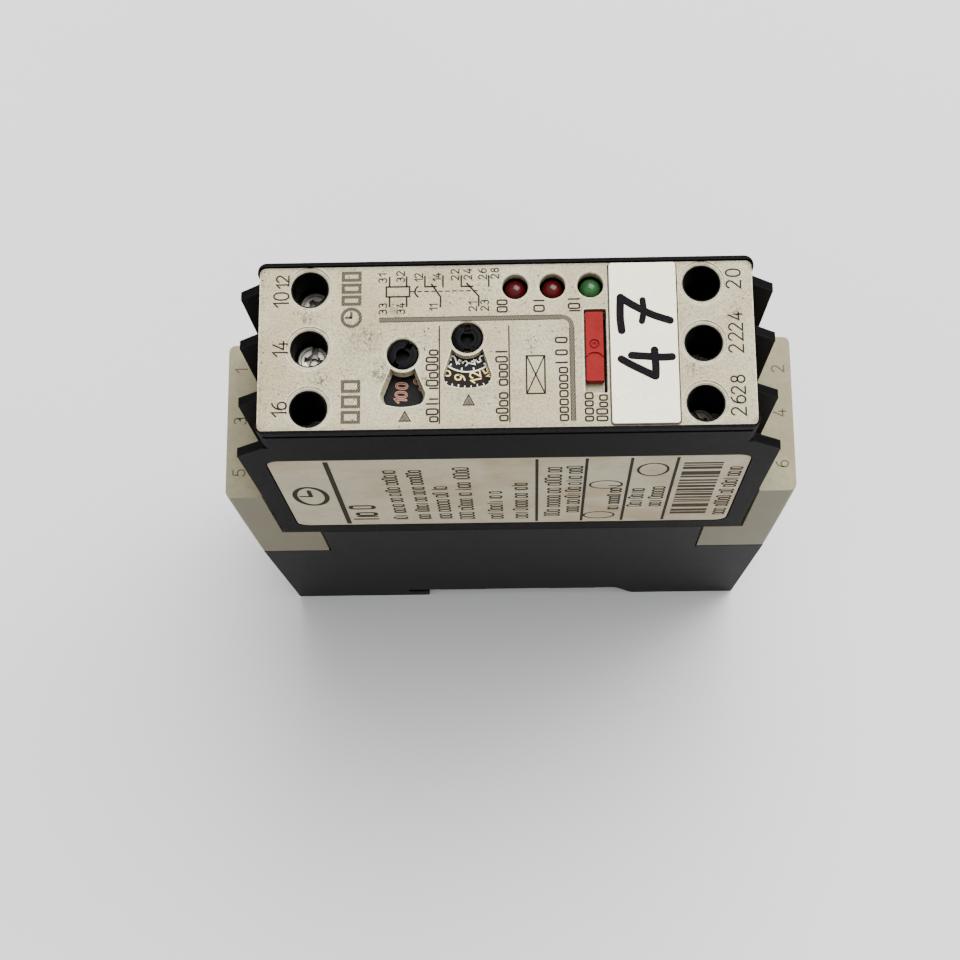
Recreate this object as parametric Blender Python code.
"""DIN rail timer in a 22.5 mm wide module, for a 35 mm rail.

Frame: +Z out of the front, z = 0 at the rear feet. X runs along the height of the
mounted device (its top is at -X, its bottom, with the rail latch, at +X) and Y across
its width. In object names left, or l, is -X and right, or r, is +X.

Sizes are millimetres and angles degrees. A name ending in _X, _Y or _Z with two
values is a range. Sizes of parts that come in pairs are given for the +X side.
"""

import math

import bmesh
import bpy
from mathutils import Vector

MM = 0.001
SIDES = (-1, 1)
SMOOTH_TURNED, SMOOTH_FINE = 35, 50     # edges sharper than this stay hard

# --- sizes shared by several pieces -------------------------------------------
HALF_W = 11.25                 # half of the module width
SEAM_Z, SEAM_GAP = 50.6, 0.2   # seam between base and upper housing
FRONT_Z = 103.8                # top of the front plate
COVER_FOOT_X = 39.3            # half length at the shoulder and the foot of the covers
FIN_Y = 3.9                    # thin walls between the terminals, at -Y and +Y

UP_X, UP_PITCH = 24.65, 7.85   # upper terminals
UP_Y = (UP_PITCH, 0.0, -UP_PITCH)
LO_X, LO_PITCH = 33.9, 7.3     # lower terminals
LO_Y = (LO_PITCH, 0.0, -LO_PITCH)
SHAFT_BORE_R = 1.9             # bore in either housing round a screw's shank

KNOB_1, KNOB_2 = (-12.89, -0.93), (-4.82, 1.12)
LEDS = ((1.25, 7.75), (5.92, 7.75), (10.69, 7.8))
PART_Z = 98.2                  # foot of the parts on the front board

for old in list(bpy.data.objects):
    bpy.data.objects.remove(old, do_unlink=True)


# --- ranges and outlines --------------------------------------------------------
def about(centre, half):
    """Range that reaches half to either side of centre."""
    return centre - half, centre + half


def side_range(side, ends):
    """Range of x on the chosen side, in rising order."""
    return sorted((side * ends[0], side * ends[1]))


def side_points(side, points):
    return [(side * x, z) for x, z in points]


def symmetric(half):
    """Outline made of its +X half and the mirror image of that."""
    return side_points(-1, half) + half[::-1]


def circle(centre, radius, count):
    angles = [2 * math.pi * i / count for i in range(count)]
    return [
        (centre[0] + radius * math.cos(angle), centre[1] + radius * math.sin(angle))
        for angle in angles
    ]


def rounded(x_range, y_range, radius, steps=4):
    """Rectangle with rounded corners."""
    low_x, high_x = x_range[0] + radius, x_range[1] - radius
    low_y, high_y = y_range[0] + radius, y_range[1] - radius
    points = []
    for x, y, start in (
        (high_x, high_y, 0), (low_x, high_y, 90), (low_x, low_y, 180), (high_x, low_y, 270),
    ):
        for i in range(steps + 1):
            angle = math.radians(start + 90 * i / steps)
            points.append((x + radius * math.cos(angle), y + radius * math.sin(angle)))
    return points


# --- shapes -----------------------------------------------------------------------
def bridge(shape, low, high):
    """Quads between two closed rings of vertices."""
    for i in range(len(low)):
        j = (i + 1) % len(low)
        shape.faces.new((low[i], low[j], high[j], high[i]))


def prism(points, axis, ends):
    """Outline across axis, which is Y or Z, drawn out between ends along it."""
    shape = bmesh.new()
    low, high = (
        [
            shape.verts.new(Vector((x, end, other) if axis == "Y" else (x, other, end)) * MM)
            for x, other in points
        ]
        for end in ends
    )
    shape.faces.new(low)
    shape.faces.new(high[::-1])
    bridge(shape, low, high)
    bmesh.ops.recalc_face_normals(shape, faces=shape.faces)
    return shape


def box(x_range, y_range, z_range):
    low_x, high_x = x_range
    low_y, high_y = y_range
    corners = [(low_x, low_y), (high_x, low_y), (high_x, high_y), (low_x, high_y)]
    return prism(corners, "Z", z_range)


def cylinder(centre, radius, z_range, count):
    return prism(circle(centre, radius, count), "Z", z_range)


def lathe(profile, centre, count):
    """Solid of revolution; the (radius, z) profile starts and ends on the axis."""
    shape = bmesh.new()
    rings = []
    for radius, z in profile:
        places = circle(centre, radius, count) if radius else [centre]
        rings.append([shape.verts.new(Vector((x, y, z)) * MM) for x, y in places])
    for low, high in zip(rings, rings[1:]):
        if len(low) > 1 and len(high) > 1:
            bridge(shape, low, high)
            continue
        for i in range(count):
            j = (i + 1) % count
            if len(low) == 1:
                shape.faces.new((low[0], high[j], high[i]))
            else:
                shape.faces.new((low[i], low[j], high[0]))
    bmesh.ops.recalc_face_normals(shape, faces=shape.faces)
    return shape


def coil(x_range, centre_z, radius, wire_r, turns, per_turn, wire_sides):
    """Round wire wound about a line along X, with both ends capped."""
    shape = bmesh.new()
    rings = []
    steps = turns * per_turn
    length = x_range[1] - x_range[0]
    for i in range(steps + 1):
        angle = 2 * math.pi * turns * i / steps
        out = Vector((0, math.cos(angle), math.sin(angle)))
        centre = Vector((x_range[0] + length * i / steps, 0, centre_z)) + out * radius
        rise = length / (2 * math.pi * turns)
        along = Vector((rise, -radius * math.sin(angle), radius * math.cos(angle)))
        across = along.normalized().cross(out)
        rings.append([
            shape.verts.new((centre + out * first + across * second) * MM)
            for first, second in circle((0, 0), wire_r, wire_sides)
        ])
    for low, high in zip(rings, rings[1:]):
        bridge(shape, low, high)
    shape.faces.new(rings[0][::-1])
    shape.faces.new(rings[-1])
    bmesh.ops.recalc_face_normals(shape, faces=shape.faces)
    return shape


def turned(shape, degrees, centre):
    """Turns a shape about the line along Z through centre."""
    cos, sin = math.cos(math.radians(degrees)), math.sin(math.radians(degrees))
    for vert in shape.verts:
        x, y = vert.co.x - centre[0] * MM, vert.co.y - centre[1] * MM
        vert.co.x = centre[0] * MM + cos * x - sin * y
        vert.co.y = centre[1] * MM + sin * x + cos * y
    return shape


# --- objects ------------------------------------------------------------------------
JOIN, CUT, KEEP = "UNION", "DIFFERENCE", "INTERSECT"


def linked(name, mesh):
    made = bpy.data.objects.new(name, mesh)
    bpy.context.scene.collection.objects.link(made)
    return made


def raw(name, shape):
    mesh = bpy.data.meshes.new(name)
    shape.to_mesh(mesh)
    shape.free()
    return linked(name, mesh)


def combined(name, start, steps):
    """Mesh of the start shape after each (operation, shape) step in turn."""
    work = raw(name + "_work", start)
    tools = []
    for operation, shape in steps:
        tool = raw(name + "_tool", shape)
        tool.hide_render = True
        tools.append(tool)
        modifier = work.modifiers.new("step", "BOOLEAN")
        modifier.operation = operation
        modifier.solver = "EXACT"
        modifier.object = tool
    bpy.context.view_layer.update()
    graph = bpy.context.evaluated_depsgraph_get()
    mesh = bpy.data.meshes.new_from_object(work.evaluated_get(graph))
    for used in [work, *tools]:
        bpy.data.objects.remove(used, do_unlink=True)
    return mesh


def solid(name, start, steps, finish, origin=(0, 0, 0), smooth=None):
    """Finished piece; smooth is the angle up to which its edges are shaded smooth."""
    mesh = combined(name, start, steps)
    shape = bmesh.new()
    shape.from_mesh(mesh)
    bmesh.ops.remove_doubles(shape, verts=shape.verts, dist=1e-6)
    bmesh.ops.dissolve_limit(
        shape, angle_limit=math.radians(0.05), verts=shape.verts, edges=shape.edges
    )
    shift = Vector(origin) * MM
    for vert in shape.verts:
        vert.co -= shift
    shape.to_mesh(mesh)
    shape.free()
    mesh.name = name
    mesh.materials.clear()
    mesh.materials.append(finish)
    for face in mesh.polygons:
        face.material_index = 0
        face.use_smooth = smooth is not None
    if smooth is not None:
        mesh.set_sharp_from_angle(angle=math.radians(smooth))
    linked(name, mesh).location = shift


# --- materials ------------------------------------------------------------------------
def material(name, rgb, rough, metal=0.0):
    made = bpy.data.materials.new(name)
    made.use_nodes = True
    shader = made.node_tree.nodes["Principled BSDF"]
    shader.inputs["Base Color"].default_value = (*rgb, 1.0)
    shader.inputs["Roughness"].default_value = rough
    shader.inputs["Metallic"].default_value = metal
    made.diffuse_color = (*rgb, 1.0)
    return made


BLACK = material("black_plastic", rgb=(0.025, 0.024, 0.026), rough=0.45)
GREY = material("grey_plastic", rgb=(0.42, 0.41, 0.34), rough=0.5)
BEIGE = material("front_plastic", rgb=(0.58, 0.55, 0.44), rough=0.5)
WHITE = material("marker_plastic", rgb=(0.78, 0.76, 0.70), rough=0.6)
FOIL = material("label_foil", rgb=(0.50, 0.47, 0.36), rough=0.5)
RED = material("red_plastic", rgb=(0.45, 0.03, 0.03), rough=0.4)
KNOB_BLACK = material("knob_plastic", rgb=(0.015, 0.015, 0.016), rough=0.35)
DIAL_BROWN = material("dial_plastic", rgb=(0.03, 0.022, 0.016), rough=0.5)
LAMP_RED = material("lamp_red", rgb=(0.20, 0.01, 0.01), rough=0.2)
LAMP_GREEN = material("lamp_green", rgb=(0.06, 0.28, 0.08), rough=0.2)
STEEL = material("plated_steel", rgb=(0.55, 0.55, 0.53), rough=0.3, metal=1.0)
BRASS = material("plated_brass", rgb=(0.60, 0.52, 0.34), rough=0.35, metal=1.0)
LAMINATE = material("board_laminate", rgb=(0.05, 0.20, 0.09), rough=0.5)
BLUE = material("part_plastic", rgb=(0.04, 0.10, 0.30), rough=0.4)
RELAY_CASE = material("relay_case", rgb=(0.75, 0.72, 0.62), rough=0.4)
IRON = material("transformer_core", rgb=(0.12, 0.11, 0.10), rough=0.6, metal=0.6)
SPRING_STEEL = material("spring_steel", rgb=(0.45, 0.45, 0.46), rough=0.3, metal=1.0)

# --- base housing -----------------------------------------------------------------------
BASE_TOP_Z = SEAM_Z - SEAM_GAP / 2
SHOULDER_Z, NECK_X = 37.3, 28.6
BASE_HALF = [   # x, z
    (38.1, 0.0), (COVER_FOOT_X, SHOULDER_Z), (NECK_X, SHOULDER_Z), (NECK_X, BASE_TOP_Z),
]
RECESS_Z, SEAT_Z = 4.6, 4.4
RAMP_X, RAMP_L = 21.0, 4.1     # S-shaped ramp into the rail recess, start and length
SEATS = ((14.0, 6.0), (-5.0, -13.0))    # pads the rail lies on, in x
HOOK_ROOT_X, HOOK_TIP_X, HOOK_TOP_Z = -18.5, -15.0, 3.1
BLOCK_OUT_X, BLOCK_Y = 37.8, 9.7
BLOCK = [       # x, z of the terminal block inside each cover
    (28.0, 36.0), (BLOCK_OUT_X, 36.0), (BLOCK_OUT_X, 56.8), (29.9, 56.8),
    (29.9, BASE_TOP_Z), (28.0, BASE_TOP_Z),
]
BLOCK_FIN_X, BLOCK_FIN_HALF, BLOCK_FIN_Z = (32.2, BLOCK_OUT_X), 0.4, (55.0, 70.4)
BASE_CAVITY_X, BASE_CAVITY_Y, BASE_CAVITY_Z = 27.2, 9.9, (8.0, 52.0)   # x, y: halves
LO_BORE_Z = (49.5, 58.0)
BAR_SLOT_HALF = 2.5
BAR_SLOTS = (   # x, z of the upright and the level slot for each lower bar
    ((29.5, 31.9), (44.3, 58.0)),
    ((26.5, 31.0), (44.3, 46.1)),
)


def base_outline():
    outline = symmetric(BASE_HALF)
    for i in range(7):
        share = i / 6
        rise = 0.5 - 0.5 * math.cos(math.pi * share)
        outline.append((RAMP_X - RAMP_L * share, RECESS_Z * rise))
    for start, end in SEATS:
        outline += [(start, RECESS_Z), (start, SEAT_Z), (end, SEAT_Z), (end, RECESS_Z)]
    return outline + [
        (HOOK_ROOT_X, RECESS_Z), (HOOK_ROOT_X, HOOK_TOP_Z),
        (HOOK_TIP_X - 0.3, HOOK_TOP_Z), (HOOK_TIP_X, HOOK_TOP_Z - 0.4),
        (HOOK_TIP_X - 0.1, 0.0),
    ]


def make_base():
    steps = []
    for side in SIDES:
        steps.append((JOIN, prism(side_points(side, BLOCK), "Y", about(0, BLOCK_Y))))
        fin_x = side_range(side, BLOCK_FIN_X)
        for y in (-FIN_Y, FIN_Y):
            steps.append((JOIN, box(fin_x, about(y, BLOCK_FIN_HALF), BLOCK_FIN_Z)))
    cavity = box(about(0, BASE_CAVITY_X), about(0, BASE_CAVITY_Y), BASE_CAVITY_Z)
    steps.append((CUT, cavity))
    for side in SIDES:
        for y in LO_Y:
            steps.append((CUT, cylinder((side * LO_X, y), SHAFT_BORE_R, LO_BORE_Z, 12)))
            for x_range, z_range in BAR_SLOTS:
                slot = box(side_range(side, x_range), about(y, BAR_SLOT_HALF), z_range)
                steps.append((CUT, slot))
    # latch channel, its side grooves and the spring peg
    steps += [
        (CUT, box((16.0, 41.0), about(0, 4.5), (-1.0, 4.0))),
        (CUT, box((17.5, 37.6), about(0, 6.1), (1.3, 3.1))),
        (JOIN, box((29.5, 30.7), about(0, 1.3), (1.2, 4.5))),
    ]
    solid("base_housing", prism(base_outline(), "Y", about(0, HALF_W)), steps, BLACK)


# --- upper housing ------------------------------------------------------------------------
CASE_FOOT_Z = SEAM_Z + SEAM_GAP / 2
CASE_X = 31.2
INNER_Y = HALF_W - 1.2         # inside of the side walls
HEAD_Z, HEAD_CORNER = (96.0, 102.2), 1.3     # rounded part under the front plate
RIM_X, RIM_Y, RIM_Z = 30.6, 10.85, 104.2     # raised rims beside the front plate
RIM_HALF = [(RIM_X, 101.0), (RIM_X, RIM_Z - 0.9), (RIM_X - 0.3, RIM_Z - 0.3), (RIM_X - 0.9, RIM_Z)]
FIN_T, FIN_TOP_Z = 1.2, 97.7
TIP_X, TIP_Z, TIP_BEVEL = 34.9, 94.0, 0.35
FIN_EDGE = [    # x, z of the outer edge that walls and fins share
    (34.85, 93.4), (TIP_X, TIP_Z), (TIP_X - TIP_BEVEL, TIP_Z + TIP_BEVEL), (CASE_X, FIN_TOP_Z),
]
SIDE_WALL = [(29.0, CASE_FOOT_Z), (34.2, CASE_FOOT_Z), *FIN_EDGE, (29.0, FIN_TOP_Z)]
FIN = [(30.5, 72.6), (34.55, 72.6), *FIN_EDGE, (30.5, FIN_TOP_Z)]
COVER_SPACE_X, COVER_SPACE_Z = (29.6, 36.0), (49.0, 72.55)
CASE_CAVITIES = ((20.1, (49.0, 104.0)), (28.2, (48.0, 79.5)))   # half length, z range
BAYS_Y = ((4.45, 10.25), (-3.35, 3.35), (-10.25, -4.45))        # in the order of UP_Y
BAY_X, BAY_Z = (21.4, 29.8), (86.6, 97.0)
HEAD_BORE_R, HEAD_BORE_Z = 2.3, (96.5, 103.5)
MOUTH_X, MOUTH_HALF, MOUTH_Z = (29.0, 31.9), 2.3, (88.4, 94.4)  # opening in the end wall
MOUTH_SPREAD = 0.95            # pitch of these openings over that of the screws
UP_BORE_Z = (78.5, 88.0)
UP_SLOT_X, UP_SLOT_Z = (19.5, 22.0), (86.6, 88.3)               # slot for each upper bar


def upper_terminal_cuts(side, y, bay_y):
    screw_axis = (side * UP_X, y)
    return [
        (CUT, cylinder(screw_axis, HEAD_BORE_R, HEAD_BORE_Z, 24)),
        (CUT, box(side_range(side, BAY_X), bay_y, BAY_Z)),
        (CUT, box(side_range(side, MOUTH_X), about(y * MOUTH_SPREAD, MOUTH_HALF), MOUTH_Z)),
        (CUT, cylinder(screw_axis, SHAFT_BORE_R, UP_BORE_Z, 12)),
        (CUT, box(side_range(side, UP_SLOT_X), (y - 2.4, y + 2.2), UP_SLOT_Z)),
    ]


def make_upper_housing():
    head = rounded(about(0, CASE_X), about(0, HALF_W), HEAD_CORNER)
    steps = [(JOIN, prism(head, "Z", HEAD_Z))]
    for y_range in ((-HALF_W, -RIM_Y), (RIM_Y, HALF_W)):
        steps.append((JOIN, prism(symmetric(RIM_HALF), "Y", y_range)))
    for side in SIDES:
        for y_range in ((INNER_Y, HALF_W), (-HALF_W, -INNER_Y)):
            steps.append((JOIN, prism(side_points(side, SIDE_WALL), "Y", y_range)))
        for y in (-FIN_Y, FIN_Y):
            steps.append((JOIN, prism(side_points(side, FIN), "Y", about(y, FIN_T / 2))))
        space_x = side_range(side, COVER_SPACE_X)
        steps.append((CUT, box(space_x, about(0, INNER_Y), COVER_SPACE_Z)))
    for half, z_range in CASE_CAVITIES:
        steps.append((CUT, box(about(0, half), about(0, INNER_Y), z_range)))
    for side in SIDES:
        for y, bay_y in zip(UP_Y, BAYS_Y):
            steps += upper_terminal_cuts(side, y, bay_y)
    # shallow recess for the rating label, in the -Y side
    label_recess = rounded(about(0, 31.8), (54.7, 91.5), 2.0)
    steps.append((CUT, prism(label_recess, "Y", (-12.0, -11.0))))
    block = box(about(0, CASE_X), about(0, HALF_W), (CASE_FOOT_Z, FIN_TOP_Z))
    solid("upper_housing", block, steps, BLACK)


def make_rating_label():
    outline = rounded(about(0, 31.6), (54.9, 91.3), 1.9)
    solid("rating_label", prism(outline, "Y", (-HALF_W, -11.05)), [], FOIL)


# --- covers -------------------------------------------------------------------------------
COVER_TOP_Z, COVER_TOP_X = 72.2, 39.9
COVER_WALL = 1.3
COVER_CEILING_Z = COVER_TOP_Z - COVER_WALL
COVER_SHELL = [     # x, z
    (28.9, 37.6), (COVER_FOOT_X, 37.6), (COVER_TOP_X, COVER_TOP_Z),
    (34.7, COVER_TOP_Z), (34.7, 50.4), (28.9, 50.4),
]
COVER_HOLLOW = [    # x, z
    (27.0, 36.0), (38.05, 36.0),
    (COVER_TOP_X - COVER_WALL, COVER_CEILING_Z), (27.0, COVER_CEILING_Z),
]
COVER_CORNER = 1.0
LEDGE_X, LEDGE_Y = (31.5, 36.0), 9.75       # strip on the inner edge of the cover's top
FRAME_X, FRAME_HALF, FRAME_Z = (39.0, 40.1), 2.9, (58.1, 64.1)
PORT_X, PORT_HALF, PORT_Z = (37.5, 41.0), 2.4, (58.6, 63.6)     # opening in each frame
COVER_BORE_R, COVER_BORE_Z = 2.0, (70.0, 73.0)                  # above each lower screw


def make_cover(name, side):
    plan = rounded(side_range(side, (20.0, COVER_TOP_X)), about(0, HALF_W), COVER_CORNER)
    ledge_z = (COVER_CEILING_Z, COVER_TOP_Z)
    hollow_y = about(0, HALF_W - COVER_WALL)
    steps = [
        (KEEP, prism(plan, "Z", (30.0, 80.0))),
        (JOIN, box(side_range(side, LEDGE_X), about(0, LEDGE_Y), ledge_z)),
        (CUT, prism(side_points(side, COVER_HOLLOW), "Y", hollow_y)),
    ]
    for y in LO_Y:
        steps.append((JOIN, box(side_range(side, FRAME_X), about(y, FRAME_HALF), FRAME_Z)))
    for y in LO_Y:
        steps.append((CUT, box(side_range(side, PORT_X), about(y, PORT_HALF), PORT_Z)))
        steps.append((CUT, cylinder((side * LO_X, y), COVER_BORE_R, COVER_BORE_Z, 20)))
    shell = prism(side_points(side, COVER_SHELL), "Y", about(0, HALF_W))
    solid(name, shell, steps, GREY)


# --- front plate and what lies in it ------------------------------------------------------
THROUGH_Z = (101.0, 105.0)     # cuts right through the plate
SCREW_HOLE_R, LED_HOLE_R, KNOB_HOLE_R = 2.35, 1.65, 2.05
RELIEF_R = 7.1                 # room for the second dial, under the plate
RIB_Z = (100.2, 102.9)


def arc(axis, radius, half):
    """Nine points from -X to +X on the -Y side of a circle about axis."""
    places = [half * (-1 + 2 * i / 8) for i in range(9)]
    return [(axis[0] + x, axis[1] - math.sqrt(radius**2 - x * x)) for x in places]


def window(axis, half_in, half_out, radius_in, radius_out, corner):
    """Opening over a dial, widening away from the knob, with an arc at each end."""
    corner_y = axis[1] - (radius_out - corner)
    outline = [
        *arc(axis, radius_in, half_in),
        (axis[0] + half_out, corner_y),
        *arc(axis, radius_out, half_out - 0.35)[::-1],
        (axis[0] - half_out, corner_y),
    ]
    return prism(outline, "Z", THROUGH_Z)


def make_front_plate():
    steps = [
        # pad under the selector slot, then a rib along each long side
        (JOIN, box((8.9, 13.4), (-7.3, 5.5), (101.4, 102.9))),
        (JOIN, box((-18.0, 18.0), (-9.7, -8.9), RIB_Z)),
        (JOIN, box((-18.0, -1.2), (8.9, 9.7), RIB_Z)),
        (CUT, cylinder(KNOB_2, RELIEF_R, (101.0, 102.9), 36)),
    ]
    screws = [(side * UP_X, y) for side in SIDES for y in UP_Y]
    for centres, radius, count in (
        (screws, SCREW_HOLE_R, 24), (LEDS, LED_HOLE_R, 20), ((KNOB_1, KNOB_2), KNOB_HOLE_R, 24),
    ):
        steps += [(CUT, cylinder(centre, radius, THROUGH_Z, count)) for centre in centres]
    steps += [
        (CUT, window(KNOB_1, half_in=1.55, half_out=2.07,
                     radius_in=2.60, radius_out=6.85, corner=1.3)),
        (CUT, window(KNOB_2, half_in=1.85, half_out=2.75,
                     radius_in=2.50, radius_out=6.55, corner=1.2)),
        # selector slot and the narrow slot in its floor
        (CUT, box((9.75, 12.55), (-6.4, 4.6), (102.4, 105.0))),
        (CUT, box((10.7, 11.7), (-3.6, 1.0), (101.0, 103.0))),
        # seat of the marker plate and the hole for its stem
        (CUT, box((12.85, 21.55), about(0, 12.0), (103.3, 105.0))),
        (CUT, box((15.9, 18.5), about(0, 1.8), (101.0, 104.0))),
    ]
    plate = prism(rounded(about(0, 31.0), about(0, 10.7), 1.3), "Z", (102.35, FRONT_Z))
    solid("front_plate", plate, steps, BEIGE)


def make_marker_plate():
    plate = prism(rounded((13.0, 21.4), about(0, 10.5), 0.4, 2), "Z", (103.4, 104.3))
    stem = box((16.2, 18.2), about(0, 1.5), (101.4, FRONT_Z))
    solid("marker_plate", plate, [(JOIN, stem)], WHITE)


def make_selector():
    slide = box((9.95, 12.30), (-4.85, 4.15), (102.6, 104.0))
    steps = [
        (JOIN, box((10.8, 11.6), (-1.9, 0.5), (99.6, 103.0))),      # stem
        (CUT, box((9.0, 13.0), (-2.2, -1.5), (103.7, 105.0))),      # groove across it
    ]
    solid("selector_slide", slide, steps, RED, origin=(11.1, -0.35, 103.3))
    body = box((8.6, 13.4), (-5.5, 4.3), (PART_Z, 100.8))
    slot = box((10.5, 11.9), (-3.8, 1.2), (99.3, 102.0))
    solid("selector_switch", body, [(CUT, slot)], KNOB_BLACK)


# --- knobs, dials and what they turn ------------------------------------------------------
KNOB_R, KNOB_SHAFT_R, KNOB_BEVEL = 1.85, 1.15, 0.15
KNOB_TOP_Z, KNOB_UNDER_Z = 103.5, 102.85
DIAL_R, DIAL_BORE_R, DIAL_T = 6.8, 1.35, 0.8
CONTROL_Z = (PART_Z, 100.3)
KNOB_PROFILE = [    # radius, z
    (0, 98.6), (KNOB_SHAFT_R, 98.6), (KNOB_SHAFT_R, KNOB_UNDER_Z), (KNOB_R, KNOB_UNDER_Z),
    (KNOB_R, KNOB_TOP_Z - KNOB_BEVEL), (KNOB_R - KNOB_BEVEL, KNOB_TOP_Z), (0, KNOB_TOP_Z),
]


def make_knob_and_dial(name, axis, dial_z, turn):
    slot = box(about(axis[0], 3), about(axis[1], 0.35), (KNOB_TOP_Z - 0.4, 105.0))
    steps = [
        (CUT, turned(slot, turn, axis)),
        (CUT, cylinder(axis, 0.75, (KNOB_TOP_Z - 1.2, 105.0), 12)),
    ]
    knob = lathe(KNOB_PROFILE, axis, 24)
    solid(name + "_knob", knob, steps, KNOB_BLACK, (*axis, KNOB_TOP_Z), SMOOTH_TURNED)
    dial = cylinder(axis, DIAL_R, (dial_z - DIAL_T, dial_z), 40)
    bore = cylinder(axis, DIAL_BORE_R, (99.0, 104.0), 16)
    solid(name + "_dial", dial, [(CUT, bore)], DIAL_BROWN, (*axis, dial_z), SMOOTH_TURNED)


def make_control(name, axis, body, smooth=None):
    """Part on the front board, with a blind bore for the knob's shaft."""
    bore = cylinder(axis, 1.45, (98.4, 101.0), 16)
    solid(name, body, [(CUT, bore)], BLUE, smooth=smooth)


# --- lamps --------------------------------------------------------------------------------
LED_R, LED_FLANGE_R = 1.45, 1.6
LED_FLANGE_Z, LED_DOME_Z = 99.0, 101.8


def make_led(name, centre, finish):
    profile = [
        (0, PART_Z), (LED_FLANGE_R, PART_Z), (LED_FLANGE_R, LED_FLANGE_Z),
        (LED_R, LED_FLANGE_Z), (LED_R, LED_DOME_Z),
    ]
    for angle in (math.radians(30), math.radians(60)):
        profile.append((LED_R * math.cos(angle), LED_DOME_Z + LED_R * math.sin(angle)))
    profile.append((0, LED_DOME_Z + LED_R))
    solid(name, lathe(profile, centre, 16), [], finish, (*centre, PART_Z), SMOOTH_FINE)


# --- boards, relay, transformer -----------------------------------------------------------
BOARD_HALF = [(26.0, 9.0), (26.0, 78.0), (18.4, 78.0), (18.4, 96.1)]    # x, z
BOARD_Y = (7.4, 9.0)
PART_BACK_Y = 7.1              # face of relay and transformer towards the main board


def make_boards():
    solid("front_board", box(about(0, 18.6), about(0, 9.3), (96.4, 98.0)), [], LAMINATE)
    solid("main_board", prism(symmetric(BOARD_HALF), "Y", BOARD_Y), [], LAMINATE)


def make_relay():
    case = box(about(0, 14.5), (-5.6, PART_BACK_Y), (56.0, 72.0))
    flange = box(about(0, 15.0), (5.9, PART_BACK_Y), (55.5, 72.5))
    solid("relay", case, [(JOIN, flange)], RELAY_CASE)


def make_transformer():
    core = box(about(0, 15.0), (-3.5, PART_BACK_Y), (14.0, 39.0))
    bulge = prism(rounded(about(0, 9.0), (18.5, 34.5), 2.0, 3), "Y", (-8.6, 3.0))
    slot = box(about(0, 6.0), (-3.9, 8.0), (35.6, 37.4))
    solid("transformer", core, [(JOIN, bulge), (CUT, slot)], IRON)


# --- rail latch and spring ----------------------------------------------------------------
LATCH = [   # x, z
    (14.9, 3.1), (17.1, 3.1), (17.1, 3.7), (36.8, 3.7), (36.8, 0.3), (17.6, 0.3), (14.9, 2.2),
]


def make_latch():
    steps = [
        (JOIN, box((20.0, 34.0), about(0, 5.8), (1.6, 2.8))),   # runners in the grooves
        (CUT, box((22.0, 31.0), about(0, 1.7), (0.8, 5.0))),    # spring pocket
        (CUT, box((33.2, 35.4), about(0, 1.6), (-1.0, 5.0))),   # opening near the +X end
    ]
    latch = prism(LATCH, "Y", about(0, 4.2))
    solid("rail_latch", latch, steps, RED, origin=(26.0, 0, 2.0))
    spring = coil((25.6, 29.0), centre_z=2.35, radius=0.95, wire_r=0.22,
                  turns=4, per_turn=8, wire_sides=5)
    solid("latch_spring", spring, [], SPRING_STEEL, (29.2, 0, 2.35), SMOOTH_FINE)


# --- terminals ----------------------------------------------------------------------------
HEAD_R, HEAD_H, HEAD_BEVEL = 2.1, 2.2, 0.25
THREAD_R, THREAD_BEVEL, SHANK_L = 1.5, 0.35, 9.5
PLATE_T, PLATE_GAP = 1.2, 0.05
# underside of each screw head and turn of its slot, in the order of UP_Y
UP_SCREWS = {
    "l": ((95.0, 35.0), (96.7, 80.0), (89.6, 38.0)),
    "r": ((89.6, 20.0), (91.0, 65.0), (92.2, 120.0)),
}
LO_HEAD_Z = 64.0
UP_BAR_Z, LO_BAR_Z = (86.8, 88.0), (57.0, 58.2)     # level part under the screws
UP_BAR = [  # x, z
    (18.8, 80.5), (19.9, 80.5), (19.9, UP_BAR_Z[0]), (29.5, UP_BAR_Z[0]),
    (29.5, UP_BAR_Z[1]), (18.8, UP_BAR_Z[1]),
]
LO_BAR = [  # x, z
    (26.5, 44.6), (31.6, 44.6), (31.6, LO_BAR_Z[0]), (37.4, LO_BAR_Z[0]),
    (37.4, LO_BAR_Z[1]), (30.4, LO_BAR_Z[1]), (30.4, 45.8), (26.5, 45.8),
]


def make_screw(name, x, y, under, turn, crossed, count):
    foot, top = under - SHANK_L, under + HEAD_H
    profile = [
        (0, foot), (THREAD_R - THREAD_BEVEL, foot), (THREAD_R, foot + THREAD_BEVEL),
        (THREAD_R, under), (HEAD_R, under), (HEAD_R, top - HEAD_BEVEL),
        (HEAD_R - HEAD_BEVEL, top), (0, top),
    ]
    slot = box(about(x, 3), about(y, 0.4), (top - 1.0, top + 1))
    steps = [(CUT, turned(slot, turn, (x, y)))]
    if crossed:
        cross = box(about(x, 1.2), about(y, 0.35), (top - 1.3, top + 1))
        steps.append((CUT, turned(cross, turn + 90, (x, y))))
    shape = lathe(profile, (x, y), count)
    solid(name, shape, steps, STEEL, (x, y, under), SMOOTH_TURNED)


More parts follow.
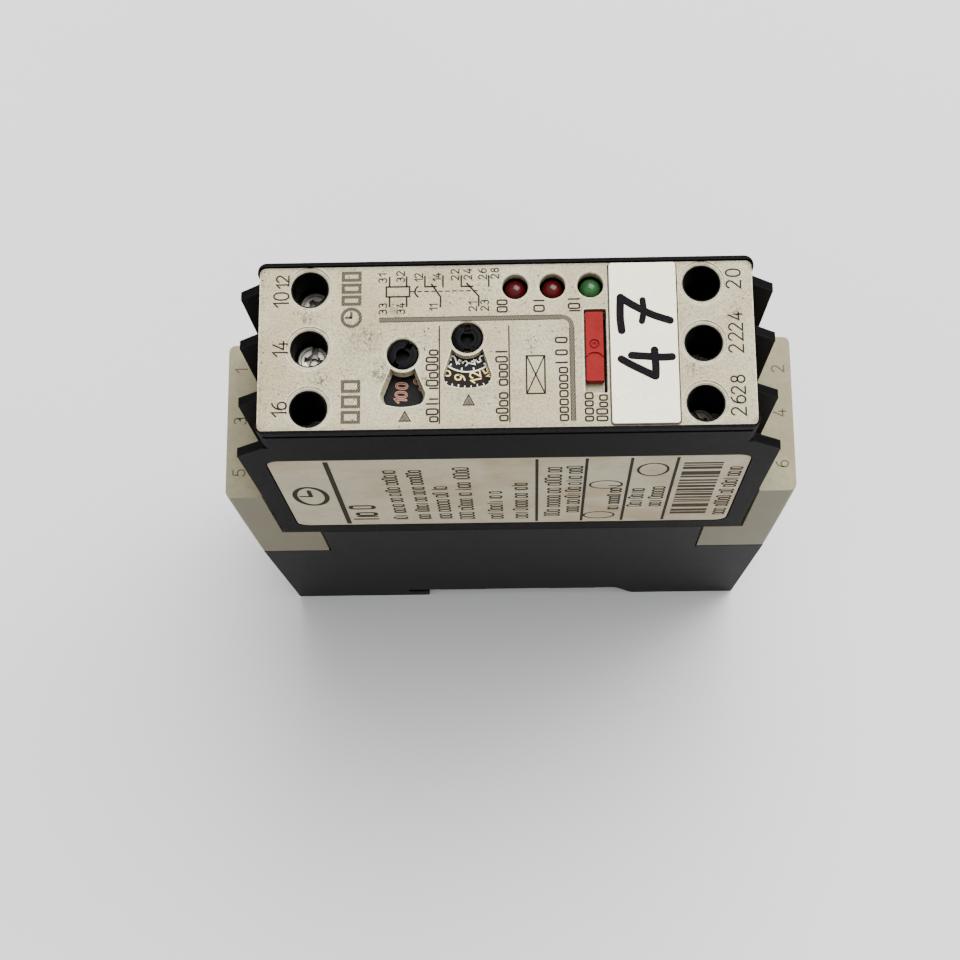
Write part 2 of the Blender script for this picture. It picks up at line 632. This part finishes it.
def make_clamp_plate(name, x, y, under):
    top = under - PLATE_GAP
    plate = box(about(x, 2.9), about(y, 2.1), (top - PLATE_T, top))
    hole = cylinder((x, y), THREAD_R + 0.2, (top - 3, top + 1), 16)
    solid(name, plate, [(CUT, hole)], BRASS, (x, y, top))


def make_bar(name, x, y, points, y_range, level_z):
    hole = cylinder((x, y), THREAD_R + 0.12, (level_z[0] - 1, level_z[1] + 1), 16)
    solid(name, prism(points, "Y", y_range), [(CUT, hole)], BRASS)


def make_terminals(letter, side):
    up_bar, lo_bar = side_points(side, UP_BAR), side_points(side, LO_BAR)
    for i, (under, turn) in enumerate(UP_SCREWS[letter]):
        tag = f"{letter}{i + 1}"
        x, y = side * UP_X, UP_Y[i]
        make_screw("screw_u_" + tag, x, y, under, turn, crossed=True, count=18)
        make_clamp_plate("plate_u_" + tag, x, y, under)
        make_bar("bar_u_" + tag, x, y, up_bar, (y - 2.1, y + 1.9), UP_BAR_Z)
        x, y = side * LO_X, LO_Y[i]
        lo_turn = 20.0 + 55.0 * i
        make_screw("screw_l_" + tag, x, y, LO_HEAD_Z, lo_turn, crossed=False, count=16)
        make_clamp_plate("plate_l_" + tag, x, y, LO_HEAD_Z)
        make_bar("bar_l_" + tag, x, y, lo_bar, about(y, 2.1), LO_BAR_Z)


# --- build --------------------------------------------------------------------------------
make_base()
make_upper_housing()
make_rating_label()
make_cover("cover_left", -1)
make_cover("cover_right", 1)
make_front_plate()
make_marker_plate()
make_selector()
make_knob_and_dial("range", KNOB_1, dial_z=101.5, turn=55.0)
make_knob_and_dial("value", KNOB_2, dial_z=102.6, turn=88.0)
switch_body = box(about(KNOB_1[0], 3.4), about(KNOB_1[1], 3.4), CONTROL_Z)
make_control("range_switch", KNOB_1, switch_body)
make_control("value_pot", KNOB_2, cylinder(KNOB_2, 3.5, CONTROL_Z, 24), SMOOTH_TURNED)
for i, finish in enumerate((LAMP_RED, LAMP_RED, LAMP_GREEN)):
    make_led(f"led_{i + 1}", LEDS[i], finish)
make_boards()
make_relay()
make_transformer()
make_latch()
make_terminals("l", -1)
make_terminals("r", 1)
